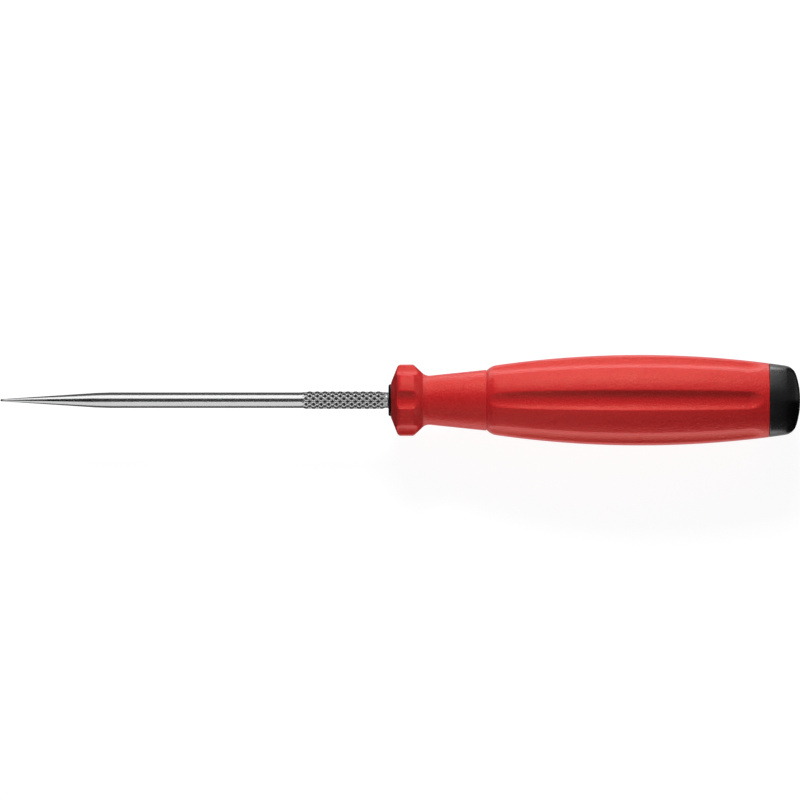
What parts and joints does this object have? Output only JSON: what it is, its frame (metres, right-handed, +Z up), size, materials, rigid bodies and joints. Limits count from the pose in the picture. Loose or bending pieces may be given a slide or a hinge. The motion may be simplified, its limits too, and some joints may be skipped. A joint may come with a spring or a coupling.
{
  "type": "straight pick",
  "caption": "Straight hand pick: round steel blade with a long tapered point and a diamond-knurled root, fixed in a fluted soft-grip handle with a scalloped anti-roll collar.",
  "frame": {"origin": "on the tool's axis, midway between the tip and the end of the butt", "axes": "+X along the tool from the tip towards the butt, +Z up through the middle of a flute of the grip"},
  "size_m": [0.1546, 0.0174, 0.017],
  "materials": {
    "blade_steel": "bright ground and plated",
    "core_plastic": "satin black moulding",
    "grip_rubber": "matt red soft moulding with a fine texture"
  },
  "bodies": {
    "root": {"pick_blade": "blade_steel", "handle_core": "core_plastic", "grip_skin": "grip_rubber"}
  },
  "joints": []
}
